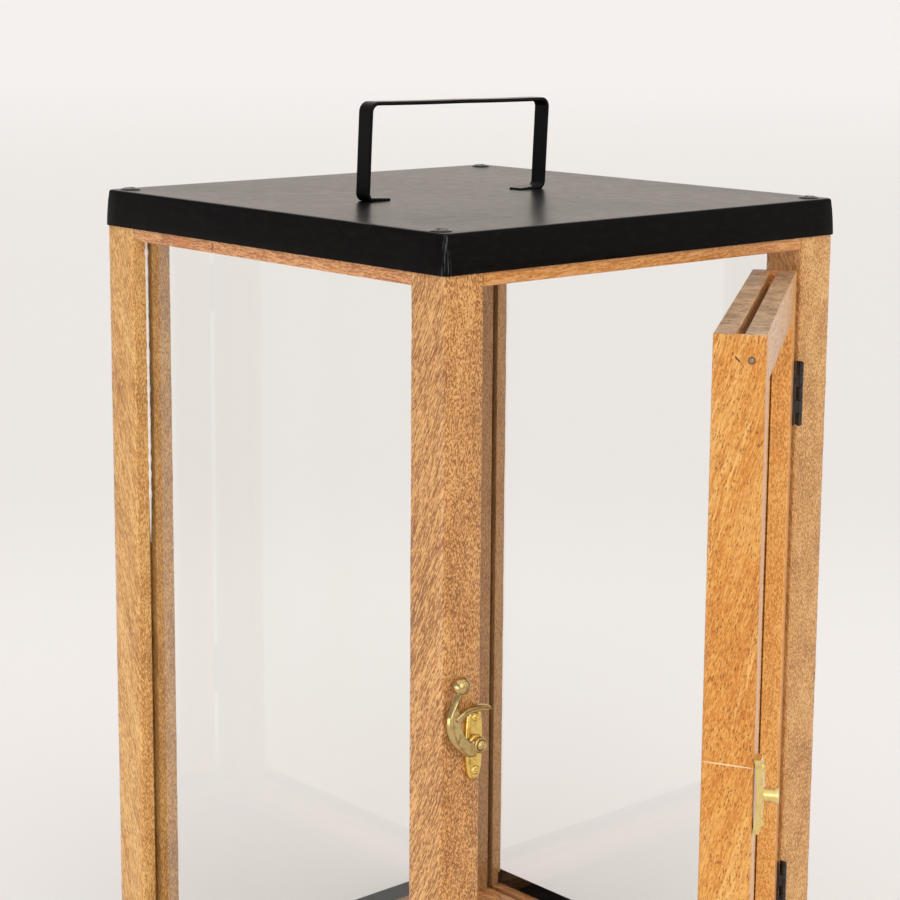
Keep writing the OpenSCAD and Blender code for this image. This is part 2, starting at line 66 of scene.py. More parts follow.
# ---- Camera ----
def add_camera():
    yaw, pitch, roll = map(math.radians, (41.79, 9.69, 0.40))
    forward = Vector((math.sin(yaw) * math.cos(pitch), math.cos(yaw) * math.cos(pitch), -math.sin(pitch)))
    right = Vector((math.cos(yaw), -math.sin(yaw), 0))
    up = right.cross(forward)
    r = math.cos(roll) * right + math.sin(roll) * up
    u = -math.sin(roll) * right + math.cos(roll) * up
    data = bpy.data.cameras.new("camera")
    data.sensor_width = 36
    data.lens = 89.0
    data.shift_y = -0.10
    data.clip_start, data.clip_end = 0.05, 200
    cam = bpy.data.objects.new("camera", data)
    cam.matrix_world = Matrix.Translation((-0.5804, -0.6401, 0.4268)) @ Matrix((r, u, -forward)).transposed().to_4x4()
    scene.collection.objects.link(cam)
    scene.camera = cam


add_camera()


# ---- Shader helpers ----
def srgb(*rgb):
    """Linear colour with alpha from three 0 to 255 sRGB values."""
    return (*(c / 255 / 12.92 if c / 255 <= 0.04045 else ((c / 255 + 0.055) / 1.055) ** 2.4 for c in rgb), 1)


class Shader:
    """A material under construction. Inputs may be plain values or other nodes' sockets."""

    def __init__(self, name):
        self.mat = bpy.data.materials.new(name)
        self.mat.use_nodes = True
        self.tree = self.mat.node_tree
        self.tree.nodes.clear()
        self.out = self.tree.nodes.new("ShaderNodeOutputMaterial")

    def add(self, kind, inputs=None, **props):
        n = self.tree.nodes.new("ShaderNode" + kind)
        for k, v in props.items():
            setattr(n, k, v)
        for k, v in (inputs or {}).items():
            self.link(v, n.inputs[k])
        return n

    def math(self, op, a, b=0.5, c=0.0, clamp=False):
        return self.add("Math", {0: a, 1: b, 2: c}, operation=op, use_clamp=clamp).outputs[0]

    def vec(self, op, a, b=(0, 0, 0), scale=None):
        n = self.add("VectorMath", {0: a, 1: b}, operation=op)
        if scale is not None:
            self.link(scale, n.inputs["Scale"])
        return n.outputs[0]

    def link(self, v, s):
        if isinstance(v, bpy.types.NodeSocket):
            self.tree.links.new(v, s)
        else:
            s.default_value = v

    def ramp(self, fac, a, b, low=0.0, high=1.0):
        """fac taken from a..b to low..high with smooth ends."""
        n = self.add("MapRange", interpolation_type="SMOOTHSTEP")
        for k, v in zip(("Value", "From Min", "From Max", "To Min", "To Max"), (fac, a, b, low, high)):
            self.link(v, n.inputs[k])
        return n.outputs[0]

    def mix(self, fac, a, b):
        n = self.add("Mix", data_type="RGBA")
        self.link(fac, n.inputs[0])
        self.link(a, n.inputs[6])
        self.link(b, n.inputs[7])
        return n.outputs[2]

    def noise(self, vector, scale, detail=2.0, rough=0.5, out=0):
        return self.add("TexNoise", {"Vector": vector, "Scale": scale, "Detail": detail,
                                     "Roughness": rough}).outputs[out]

    def bump(self, height, strength, distance, normal=None):
        ins = {"Height": height, "Strength": strength, "Distance": distance}
        if normal is not None:
            ins["Normal"] = normal
        return self.add("Bump", ins).outputs[0]

    def surface(self, **ins):
        p = self.add("BsdfPrincipled", {k.replace("_", " "): v for k, v in ins.items()})
        self.tree.links.new(p.outputs[0], self.out.inputs[0])
        return self.mat


def wood(name, deep, base, pale, grain=(0, 0, 1), layers=(0.9, 0.9, 0.25), seed=0, contrast=0.5, patches=0.3,
         streaks=0.3, pores=0.6, pore_size=1.0, crowding=1.0, rough=0.42, bend=0.005, raw_top=None, marks=()):
    """Open-pored hardwood under lacquer. grain runs along its fibres, layers across its growth bands.
    raw_top: three colours of its bare, weathered upper side.
    marks: (place, size, turn about X in degrees, colour, share) of each dent or scratch, an ellipsoid in mm."""
    s = Shader(name)
    turn = Vector(grain).normalized().rotation_difference(Vector((0, 0, 1))).to_euler()
    coords = s.add("TexCoord").outputs["Object"]
    moved = s.vec("ADD", coords, (0.037 * seed, 0.061 * seed, 0.013 * seed))
    wander = s.vec("SUBTRACT", s.noise(moved, 24, 2, out=1), (0.5, 0.5, 0.5))
    moved = s.vec("ADD", moved, s.vec("SCALE", wander, scale=bend))
    p = s.add("Mapping", {"Vector": moved, "Rotation": turn}).outputs[0]
    n = Vector(layers).normalized()
    across = s.add("VectorMath", {0: moved, 1: n}, operation="DOT_PRODUCT").outputs["Value"]
    band_at = s.vec("ADD", s.vec("SCALE", tuple(n), scale=across), s.vec("SCALE", moved, scale=0.05))
    broad = s.noise(s.vec("MULTIPLY", p, (1, 1, 0.13)), 110, 3, 0.6)
    colour = s.mix(s.ramp(broad, 0.32, 0.52, patches, 0), base, deep)
    colour = s.mix(s.ramp(broad, 0.50, 0.68, 0, patches), colour, pale)
    bands = s.noise(band_at, 1300, 2, 0.6)
    where = s.ramp(s.noise(band_at, 130, 2, 0.5), 0.50, 0.62)
    colour = s.mix(s.math("MULTIPLY", s.ramp(bands, 0.45, 0.60, 0, streaks), where), colour, pale)
    colour = s.mix(s.ramp(bands, 0.34, 0.46, 0.45 * streaks, 0), colour, deep)
    fibres = s.noise(s.vec("MULTIPLY", p, (1, 1, 0.07)), 1900, 1, 0.5)
    specks = s.noise(s.vec("MULTIPLY", p, (1, 1, 0.24)), 2400, 1, 0.5)
    fine = s.math("MULTIPLY_ADD", s.math("SUBTRACT", fibres, specks), 0.5, specks)
    colour = s.mix(s.ramp(fine, 0.40, 0.51, contrast, 0), colour, deep)
    colour = s.mix(s.ramp(fine, 0.50, 0.60, 0, contrast), colour, pale)
    dark = tuple(0.5 * c for c in deep[:3]) + (1,)
    cells = s.add("TexVoronoi", {"Vector": s.vec("MULTIPLY", p, (1, 1, 0.32)), "Scale": 1050 / pore_size})
    crowd = s.ramp(s.noise(p, 220, 1), 0.35, 0.65, 0.15 * crowding, 0.29 * crowding)
    pore = s.ramp(cells.outputs["Distance"], s.math("MULTIPLY", crowd, 0.45), crowd, 1, 0)
    colour = s.mix(s.math("MULTIPLY", pore, pores), colour, dark)
    shine = s.math("MULTIPLY_ADD", pore, 0.2, rough)
    if raw_top is not None:
        up = s.add("SeparateXYZ", {0: s.add("NewGeometry").outputs["Normal"]}).outputs[2]
        top = s.ramp(up, 0.55, 0.9)
        sawn = s.noise(coords, 900, 3, 0.7)
        grey = s.mix(s.ramp(s.noise(coords, 130, 3, 0.6), 0.35, 0.65), raw_top[0], raw_top[1])
        grey = s.mix(s.ramp(sawn, 0.5, 0.68, 0, 0.7), grey, raw_top[2])
        colour = s.mix(top, colour, grey)
        shine = s.add("Mix", {0: top, 2: shine, 3: 0.8}, data_type="FLOAT").outputs[0]
    for place_at, size, tilt, tint, share in marks:
        local = s.add("Mapping", {"Vector": coords, "Location": tuple(v * MM for v in place_at),
                                  "Rotation": (math.radians(tilt), 0, 0), "Scale": tuple(v * MM for v in size)},
                      vector_type="TEXTURE").outputs[0]
        reach = s.add("VectorMath", {0: local}, operation="LENGTH").outputs["Value"]
        colour = s.mix(s.ramp(reach, 0.75, 1.0, share, 0), colour, tint)
    height = s.math("SUBTRACT", s.math("MULTIPLY", fine, 0.5), pore)
    return s.surface(Base_Color=colour, Roughness=shine, IOR=1.33, Coat_Weight=0.6, Coat_Roughness=0.22, Coat_IOR=1.38,
                     Normal=s.bump(height, 0.3, 0.0001))


def coat(name, colour, rough=0.32, ior=1.105, peel=0.12, dust=0.015, folded=False):
    """Black powder coat: fine orange peel over slow dents. folded: glossier on top, with lighter grey streaks down its
    four corners painted on as highlights of the folded ridges.
    """
    s = Shader(name)
    coords = s.add("TexCoord").outputs["Object"]
    fine = s.noise(coords, 1600, 2, 0.6)
    slow = s.noise(coords, 45, 2, 0.5)
    blot = s.noise(s.vec("MULTIPLY", coords, (1, 1, 2.5)), 160, 4, 0.65)
    tone = s.mix(s.ramp(blot, 0.45, 0.75, 0, dust), colour, srgb(120, 112, 104))
    r = s.math("MULTIPLY_ADD", s.math("SUBTRACT", blot, 0.5), 0.25, rough)
    gloss = 1.0
    if folded:
        up = s.add("SeparateXYZ", {0: s.add("NewGeometry").outputs["Normal"]}).outputs[2]
        gloss = s.ramp(up, 0.3, 0.9)
        side = s.add("SeparateXYZ", {0: s.vec("ABSOLUTE", coords)}).outputs
        corner = s.ramp(s.math("MINIMUM", side[0], side[1]), (RIM_OUT - 3.2) * MM, (RIM_OUT - 1.6) * MM)
        lines = s.ramp(s.noise(s.vec("MULTIPLY", coords, (1, 1, 0.07)), 1150, 2, 0.6), 0.48, 0.64, 0, 0.5)
        # painted highlight: pale grey streaks on the skirts' folded corners stand in for light caught on the corner
        # ridges
        ridge_highlight = s.math("MULTIPLY", s.math("MULTIPLY", corner, lines), s.math("SUBTRACT", 1.0, gloss))
        tone = s.mix(ridge_highlight, tone, srgb(104, 106, 110))
    n = s.bump(slow, 0.35, 0.0012)
    return s.surface(Base_Color=tone, Roughness=r, IOR=ior, Coat_Weight=gloss, Coat_Roughness=0.3, Coat_IOR=ior,
                     Normal=s.bump(fine, peel, 0.0002, n))


def metal(name, light, dark, rough, tarnish_and_dark_reflection=0.4, scratch=0.15):
    """Cast or rolled metal, tarnished in the hollows of its surface; on the catch's lever its darker share is also a
    painted dark reflection.
    """
    s = Shader(name)
    coords = s.add("TexCoord").outputs["Object"]
    blot = s.noise(coords, 380, 4, 0.6)
    fine = s.noise(coords, 2280, 2, 0.6)
    colour = s.mix(s.ramp(blot, 0.45, 0.72, 0, tarnish_and_dark_reflection), light, dark)
    r = s.math("MULTIPLY_ADD", blot, 0.25, rough - 0.1)
    h = s.math("MULTIPLY_ADD", fine, 0.4, blot)
    return s.surface(Base_Color=colour, Roughness=r, Metallic=1.0, IOR=1.5, Normal=s.bump(h, scratch, 0.00025))


def pane_edge():
    s = Shader("glass_edge")
    return s.surface(Base_Color=srgb(58, 66, 44), Roughness=0.25, IOR=1.5)


def pane_material():
    """Clear float glass: mirrors by its Fresnel share and lets the rest straight through."""
    s = Shader("clear_glass")
    coords = s.add("TexCoord").outputs["Object"]
    wave = s.bump(s.noise(coords, 9, 1), 0.04, 0.003)
    smear = s.ramp(s.noise(coords, 24, 4, 0.65), 0.45, 0.8, 0.02, 0.06)
    clear = s.add("BsdfTransparent", {"Color": (0.993, 0.994, 0.990, 1)})
    mirror = s.add("BsdfGlossy", {"Color": (0.97, 0.975, 0.97, 1), "Roughness": smear, "Normal": wave})
    front = s.math("SUBTRACT", 1.0, s.add("NewGeometry").outputs["Backfacing"])
    share = s.math("MULTIPLY", s.math("MULTIPLY", s.add("Fresnel", {"IOR": 1.46}).outputs[0], 1.85), front, clamp=True)
    both = s.add("MixShader", {0: share, 1: clear.outputs[0], 2: mirror.outputs[0]})
    s.tree.links.new(both.outputs[0], s.out.inputs[0])
    return s.mat


# ---- Mesh helpers ----
def finish_mesh(name, bm, material, angle=35):
    bmesh.ops.recalc_face_normals(bm, faces=bm.faces)
    me = bpy.data.meshes.new(name)
    bm.to_mesh(me)
    bm.free()
    me.shade_smooth()
    me.set_sharp_from_angle(angle=math.radians(angle))
    ob = bpy.data.objects.new(name, me)
    scene.collection.objects.link(ob)
    for m in (material if isinstance(material, (list, tuple)) else [material]):
        me.materials.append(m)
    return ob


def skin(bm, rings, material=0, caps=True):
    """Faces from ring to ring of points. caps: the first and the last ring are closed as well."""
    for r0, r1 in zip(rings, rings[1:]):
        for k in range(len(r0)):
            bm.faces.new((r0[k - 1], r0[k], r1[k], r1[k - 1])).material_index = material
    if caps:
        bm.faces.new(rings[0]).material_index = material
        bm.faces.new(rings[-1]).material_index = material


def place(ob, body, *replaced, slot):
    if body == "door":
        ob.matrix_world = DOOR_MATRIX
    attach(ob, body)
    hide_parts(*replaced)
    return ob


def outline(corners, radii, counts=None, step=3.5, arc=3):
    """A closed counter-clockwise outline with square corners rounded: (x, y, nx, ny, corner share) each."""
    n, pts, used = len(corners), [], []
    for i in range(n):
        a, p, b = (Vector(corners[j % n]) for j in (i - 1, i, i + 1))
        d1, d2, r = (p - a).normalized(), (b - p).normalized(), radii[i]
        c = p - d1 * r + d2 * r
        n1, n2 = Vector((d1.y, -d1.x)), Vector((d2.y, -d2.x))
        steps = arc if r > 0.05 else 0
        for k in range(steps + 1):
            t = math.pi / 2 * (k / steps if steps else 0.5)
            off = -d2 * math.cos(t) * r + d1 * math.sin(t) * r
            nn = (n1 * math.cos(t) + n2 * math.sin(t)).normalized()
            pts.append((*(c + off), *nn, math.sin(2 * t) if r > 0.3 else 0.0))
        length = (b - p).length - r - radii[(i + 1) % n]
        m = counts[i] if counts else max(1, round(length / step))
        used.append(m)
        for k in range(1, m):
            q = p + d2 * (r + length * k / m)
            pts.append((*q, *n2, 0.0))
    return pts, used


def bar(name, shape, radii, axis, span, material, seed, wear=0.22, end=0.5, step=4.0, signs=(1, 1), breaks=()):
    """A bar of any outline. shape(s) gives its corners at station s along the axis, in millimetres.
    wear: how far its edges are rubbed back, unevenly; end: chamfer of its ends; breaks: where its shape changes."""
    a, b = span
    parts = max(1, round((b - a) / step))
    inner = [a + end + (b - a - 2 * end) * k / parts for k in range(parts + 1)]
    stations = [(a, end), (a + 0.3 * end, 0.3 * end)] + [(s, 0) for s in inner]
    stations += [(b - 0.3 * end, 0.3 * end), (b, end)]
    for s in breaks:
        stations += [(s - 0.01, 0), (s + 0.01, 0)]
    stations.sort()
    _, counts = outline(shape(sum(span) / 2), radii)
    bm = bmesh.new()
    rings = []
    for s, inset in stations:
        ring = []
        for x, y, nx, ny, c in outline(shape(s), radii, counts)[0]:
            q = Vector((x * 0.11 + seed * 7.3, y * 0.11, s * 0.055))
            w = (0.5 + 0.5 * noise.noise(q)) * 0.05
            w += c * wear * max(0.0, 0.45 + 0.9 * noise.noise(Vector((x * 0.05, y * 0.05 + seed * 3.1, s * 0.13))))
            u, v = x - nx * (inset + w), y - ny * (inset + w)
            co = {"z": (u, v, s), "x": (s, u, v), "y": (u, s, v)}[axis]
            ring.append(bm.verts.new((co[0] * signs[0] * MM, co[1] * signs[1] * MM, co[2] * MM)))
        rings.append(ring)
    skin(bm, rings)
    return finish_mesh(name, bm, material)


def rect(x0, x1, y0, y1):
    return [(x0, y0), (x1, y0), (x1, y1), (x0, y1)]


# ---- Materials ----
KNOT_Y = 30.5
RAW = (srgb(162, 130, 100), srgb(208, 170, 130), srgb(98, 72, 52))
NICK = ((DOOR_X[0], DOOR_Y[0] + 9.0, DOOR_Z[1] - 8.0), (1, 0.34, 1.6), -42, srgb(70, 34, 16), 0.9)
KNOT = ((-HALF, KNOT_Y, TOP_RAIL_Z + 2.4), (2, 0.9, 1.9), 0, srgb(112, 56, 34), 0.75)
END_STAIN = ((-HALF, KNOT_Y + 19, TOP_RAIL_Z + 2), (3, 6, 12), 0, srgb(186, 106, 54), 0.45)
SCRATCH = ((DOOR_X[0], DOOR_MID, 177.8), (1, 9.6, 0.30), 4, srgb(250, 222, 180), 0.75)
NAIL_Y, NAIL_IN = DOOR_Y[0] + 4.6, 8.2
NAIL_RING = ((DOOR_X[0], NAIL_Y, DOOR_Z[1] - NAIL_IN), (1, 1.5, 1.5), 0, srgb(84, 46, 20), 0.8)
WOOD = {
    "post_front_left": dict(
        deep=srgb(132, 80, 40), base=srgb(196, 138, 78), pale=srgb(232, 180, 116),
        grain=(0.03, -0.45, 1), layers=(1, 0.8, 0.2), seed=1,
        contrast=0.8, patches=0.55, streaks=0.25, pores=0.6),
    "post_front_right": dict(
        deep=srgb(146, 92, 44), base=srgb(202, 148, 86), pale=srgb(234, 188, 126),
        grain=(0.10, 0.5, 1), layers=(1, 0.5, 0.15), seed=2,
        contrast=0.6, patches=0.5, streaks=0.15, pores=0.45),
    "post_back_left": dict(
        deep=srgb(152, 94, 40), base=srgb(208, 154, 86), pale=srgb(236, 190, 122),
        grain=(0.10, 0.35, 1), layers=(1, 0.9, 0.15), seed=3,
        contrast=0.65, patches=0.55, streaks=0.15, pores=0.45),
    # painted shade: this back post's wood is darker than the other posts' because the post stands in the lantern's
    # shade
    "post_back_right": dict(
        deep=srgb(122, 80, 46), base=srgb(172, 126, 80), pale=srgb(196, 152, 104),
        grain=(0.06, -0.3, 1), seed=4,
        contrast=0.6, pores=0.45),
    "rail": dict(
        deep=srgb(148, 86, 46), base=srgb(202, 138, 84), pale=srgb(228, 172, 116),
        layers=(0.25, 0.25, 1),
        contrast=0.7, pores=0.5),
    "door_stile_latch": dict(
        deep=srgb(176, 98, 36), base=srgb(214, 142, 56), pale=srgb(242, 192, 112),
        grain=(0.14, -0.25, 1), layers=(0.6, 0.95, 0.27), seed=11,
        contrast=0.42, patches=0.38, streaks=0.7, pores=0.8, pore_size=0.75, crowding=1.4,
        marks=(NICK, SCRATCH, NAIL_RING)),
    "door_stile_hinge": dict(
        deep=srgb(176, 98, 34), base=srgb(224, 152, 72), pale=srgb(246, 190, 110),
        grain=(0.4, 0.06, 1), layers=(0.2, 1, 0.15), seed=12,
        contrast=0.6, pores=0.4),
    "door_rail": dict(
        deep=srgb(152, 94, 50), base=srgb(206, 154, 100), pale=srgb(232, 188, 136),
        layers=(0.1, 0.4, 1),
        contrast=0.6),
}


def wood_for(name, key=None, **more):
    return wood(name + "_wood", **{**WOOD[key or name], **more})


black = coat("black_sheet", srgb(15, 14, 14), peel=0.2, dust=0.02, folded=True)
black_strap = coat("black_strap", srgb(12, 11, 11), rough=0.35, ior=1.12)
black_screw = coat("black_screw", srgb(16, 15, 15), rough=0.3, ior=1.25, peel=0.05, dust=0.02)
steel = metal("hinge_steel", srgb(70, 70, 72), srgb(34, 33, 33), rough=0.42, tarnish_and_dark_reflection=0.7, scratch=0.2)
nail_steel = metal("nail_steel", srgb(150, 146, 140), srgb(96, 88, 80), rough=0.45)
brass = metal("catch_brass", srgb(232, 198, 112), srgb(122, 88, 36), rough=0.18, tarnish_and_dark_reflection=0.5, scratch=0.25)
# painted reflection: the lever and its rivet get a darker copy of the brass, standing for the dim room mirrored in them
# as well as for tarnished patches
brass_lever_dark_reflection = metal("catch_lever_brass", srgb(200, 174, 118), srgb(100, 74, 40), rough=0.17, tarnish_and_dark_reflection=0.6, scratch=0.12)
keeper_brass = metal("keeper_brass", srgb(234, 208, 136), srgb(168, 134, 70), rough=0.24, tarnish_and_dark_reflection=0.4, scratch=0.15)
glass = pane_material()
glass_edge = pane_edge()
# painted highlight: the bead of clear silicone is real, and its near-white colour stands in for the light it catches
sealant_painted_highlight = coat("sealant_painted_highlight", srgb(232, 227, 221), rough=0.25, ior=1.45, peel=0.3, dust=0.35)
dowel_wood = wood("dowel_wood", srgb(176, 140, 96), srgb(214, 180, 132), srgb(228, 200, 156), seed=30)


# ---- Wooden frame ----
PANE_BACK, GROOVE_W = 7.2, 3.0                   # the panes' middle, back from the frame's outside; their grooves
GROOVE = (HALF - PANE_BACK - GROOVE_W / 2, HALF - PANE_BACK + GROOVE_W / 2)
POST_GROOVE, RAIL_GROOVE, LOW_GROOVE = 4.0, 5.5, 3.0      # depths
NO_GROOVE = 0.03                                 # keeps the number of corners where a groove has ended
SMALL = 0.01                                     # radius of a corner that stays sharp
UNDER_LID = (RIM_H - 0.8, TOP - RIM_H + 0.8)     # past these heights the posts are planed back to fit inside the skirts
PLANED = 1.3
LEAF_OVER = 0.8                                  # how far the wood reaches past the hinge leaves let into it


def post(node, sx, sy, x_pane, y_pane, seed, over=0.0):
    """x_pane: a groove for the pane on the X side; y_pane: one for the pane on the Y side.
    over: how far its inner X face reaches over the hinge leaves that are let into it."""
    groove = (BOTTOM_RAIL_Z - LOW_GROOVE, FRAME_Z[1] - 8)

    def shape(s):
        deep = POST_GROOVE if groove[0] < s < groove[1] else NO_GROOVE
        dx, dy = (deep if x_pane else NO_GROOVE), (deep if y_pane else NO_GROOVE)
        g0, g1 = GROOVE
        ix = INNER - over
        out = HALF if UNDER_LID[0] < s < UNDER_LID[1] else HALF - PLANED
        return [(ix, INNER), (g0, INNER), (g0, INNER + dx), (g1, INNER + dx), (g1, INNER), (out, INNER),
                (out, out), (ix, out), (ix, g1), (ix + dy, g1), (ix + dy, g0), (ix, g0)]
    radii = [0.5] + [SMALL] * 4 + [0.6, 0.9, 0.6] + [SMALL] * 4
    ob = bar(node + "_look", shape, radii, "z", FRAME_Z, wood_for(node), seed, signs=(sx, sy),
             breaks=groove + UNDER_LID)
    return place(ob, "lantern_frame", node, slot="post_wood")


post("post_front_left", -1, -1, True, False, 1)
post("post_front_right", 1, -1, True, False, 2, over=LEAF_OVER)
post("post_back_left", -1, 1, True, True, 3)
post("post_back_right", 1, 1, True, True, 4)


def rail(node, side, z, groove, seed, material):
    """A rail between two posts. side: front, back, left or right. groove: (from, to) heights, or None."""
    y0, y1 = INNER + RAIL_BACK, HALF - RAIL_BACK
    g0, g1 = GROOVE
    if groove is None:
        corners, radii = rect(y0, y1, *z), [0.5] * 4
    elif groove[0] <= z[0]:
        corners = [(y0, z[0]), (g0, z[0]), (g0, groove[1]), (g1, groove[1]),
                   (g1, z[0]), (y1, z[0]), (y1, z[1]), (y0, z[1])]
        radii = [0.5] + [SMALL] * 4 + [0.5] * 3
    else:
        corners = [(y0, z[0]), (y1, z[0]), (y1, z[1]), (g1, z[1]),
                   (g1, groove[0]), (g0, groove[0]), (g0, z[1]), (y0, z[1])]
        radii = [0.5] * 3 + [SMALL] * 4 + [0.5]
    along = "x" if side in ("back", "front") else "y"
    signs = {"front": (1, -1), "left": (-1, 1)}.get(side, (1, 1))
    reach = INNER - 0.15                    # a hairline joint at each post
    ob = bar(node + "_look", lambda s: corners, radii, along, (-reach, reach), material, seed,
             wear=0.12, end=0.35, signs=signs)
    return place(ob, "lantern_frame", node, slot="rail_wood")


for i, side in enumerate(("front", "back", "left", "right")):
    grain = (1, 0.03, 0.05) if side in ("front", "back") else (0.03, 1, 0.04)
    tone = dict(deep=srgb(150, 98, 62), base=srgb(190, 138, 96))
    if side == "front":
        tone = dict(deep=srgb(176, 106, 48), base=srgb(210, 148, 78))
    elif side == "left":
        tone = dict(marks=(KNOT, END_STAIN))
    top = wood_for(f"top_rail_{side}", "rail", grain=grain, seed=5 + i, **tone)
    low = wood_for(f"bottom_rail_{side}", "rail", grain=grain, seed=15 + i)
    glazed = side != "front"
    rail(f"top_rail_{side}", side, (TOP_RAIL_Z, FRAME_Z[1]),
         (TOP_RAIL_Z, TOP_RAIL_Z + RAIL_GROOVE) if glazed else None, 20 + i, top)
    rail(f"bottom_rail_{side}", side, (FRAME_Z[0], BOTTOM_RAIL_Z),
         (BOTTOM_RAIL_Z - LOW_GROOVE, BOTTOM_RAIL_Z) if glazed else None, 30 + i, low)


# ---- Door ----
KERF = DOOR_Z[1] - 3.5                           # floor of the saw cut over the stiles
STILE_GROOVE, STILE_WALL = 4.5, 1.2              # the pane's groove; what the saw cut leaves at the free side
SLOT_Y = (DOOR_MID - SLOT / 2, DOOR_MID + SLOT / 2)


def stile(node, outer, inner, seed):
    """outer and inner are the X of its free side and of the side that faces the pane."""
    (y0, y1), (m0, m1) = DOOR_Y, SLOT_Y
    w = abs(inner - outer)

    def shape(s):
        depth = NO_GROOVE if s < SILL else STILE_GROOVE if s < KERF else STILE - STILE_WALL
        return [(0, y0), (w, y0), (w, m0), (w - depth, m0), (w - depth, m1), (w, m1), (w, y1), (0, y1)]
    ob = bar(node + "_look", shape, [0.7, 0.4] + [SMALL] * 4 + [0.4, 0.7], "z", DOOR_Z, wood_for(node, raw_top=RAW),
             seed, wear=0.2, breaks=(SILL, KERF), signs=(1 if inner > outer else -1, 1))
    ob.data.transform(Matrix.Translation((outer * MM, 0, 0)))
    return place(ob, "door", node, slot="stile_wood")


stile("door_stile_latch", DOOR_X[0], DOOR_X[0] + STILE, 41)
stile("door_stile_hinge", DOOR_X[1] + LEAF_OVER, DOOR_X[1] - STILE, 42)

span = (DOOR_X[0] + STILE, DOOR_X[1] - STILE)
strip = (DOOR_Y[1] - DOOR_Y[0] - SLOT) / 2
for node, y, seed in (("door_top_rail_outer", DOOR_Y[0], 51), ("door_top_rail_inner", DOOR_Y[1] - strip, 52)):
    corners = rect(y, y + strip, DOOR_Z[1] - DOOR_RAIL, DOOR_Z[1])
    ob = bar(node + "_look", lambda s: corners, [0.4] * 4, "x", span,
             wood_for(node, "door_rail", grain=(1, 0.02, 0.03), seed=seed, raw_top=RAW), seed, wear=0.25, end=0.1)
    place(ob, "door", node, slot="stile_wood")
(y0, y1), (m0, m1), foot, head = DOOR_Y, SLOT_Y, DOOR_Z[0], DOOR_Z[0] + DOOR_RAIL
low = [(y0, foot), (y1, foot), (y1, head), (m1, head), (m1, SILL), (m0, SILL), (m0, head), (y0, head)]
ob = bar("door_bottom_rail_look", lambda s: low, [0.4] * 3 + [SMALL] * 4 + [0.4], "x", span,
         wood_for("door_bottom_rail", "door_rail", grain=(1, 0.02, 0.03), seed=53), 53, wear=0.15, end=0.1)
place(ob, "door", "door_bottom_rail", slot="stile_wood")


# ---- Panes ----
def pane(node, body, bead=False):
    """A pane with dark green edges. bead: an uneven run of clear silicone by the back post, over the upper part,
    coloured near white as a painted highlight along it.
    """
    to_local = DOOR_MATRIX.inverted() if body == "door" else Matrix()
    pts = [to_local @ v.co for v in nodes[node].data.vertices]
    low, high = (Vector(f(p[i] for p in pts) for i in range(3)) for f in (min, max))
    bm = bmesh.new()
    bmesh.ops.create_cube(bm, size=1)
    for v in bm.verts:
        v.co = Vector(low[i] + (v.co[i] + 0.5) * (high[i] - low[i]) for i in range(3))
    largest = max(f.calc_area() for f in bm.faces)
    for f in bm.faces:
        f.material_index = 0 if f.calc_area() > 0.5 * largest else 1
    if bead:
        r, sides, sunk = 0.62, 8, 0.1
        rings = []
        z0, z1, n = 205.0, TOP_RAIL_Z - 1, 160
        for k in range(n + 1):
            z = z0 + (z1 - z0) * k / n
            q = r * (0.9 + 0.6 * noise.noise(Vector((3.1, 0, z * 0.35)))) * min(1.0, 0.15 + (z - z0) / 25)
            turns = (2 * math.pi * i / sides for i in range(sides))
            ring = [(low.x / MM - sunk - q * math.cos(t), INNER - sunk - q * math.sin(t), z) for t in turns]
            rings.append([bm.verts.new(Vector(p) * MM) for p in ring])
        skin(bm, rings, material=2)
    mats = [glass, glass_edge] + ([sealant_painted_highlight] if bead else [])
    place(finish_mesh(node + "_look", bm, mats), body, node, slot="clear_glass")


pane("glass_left", "lantern_frame", bead=True)
pane("glass_back", "lantern_frame")
pane("glass_right", "lantern_frame")
pane("door_glass", "door")


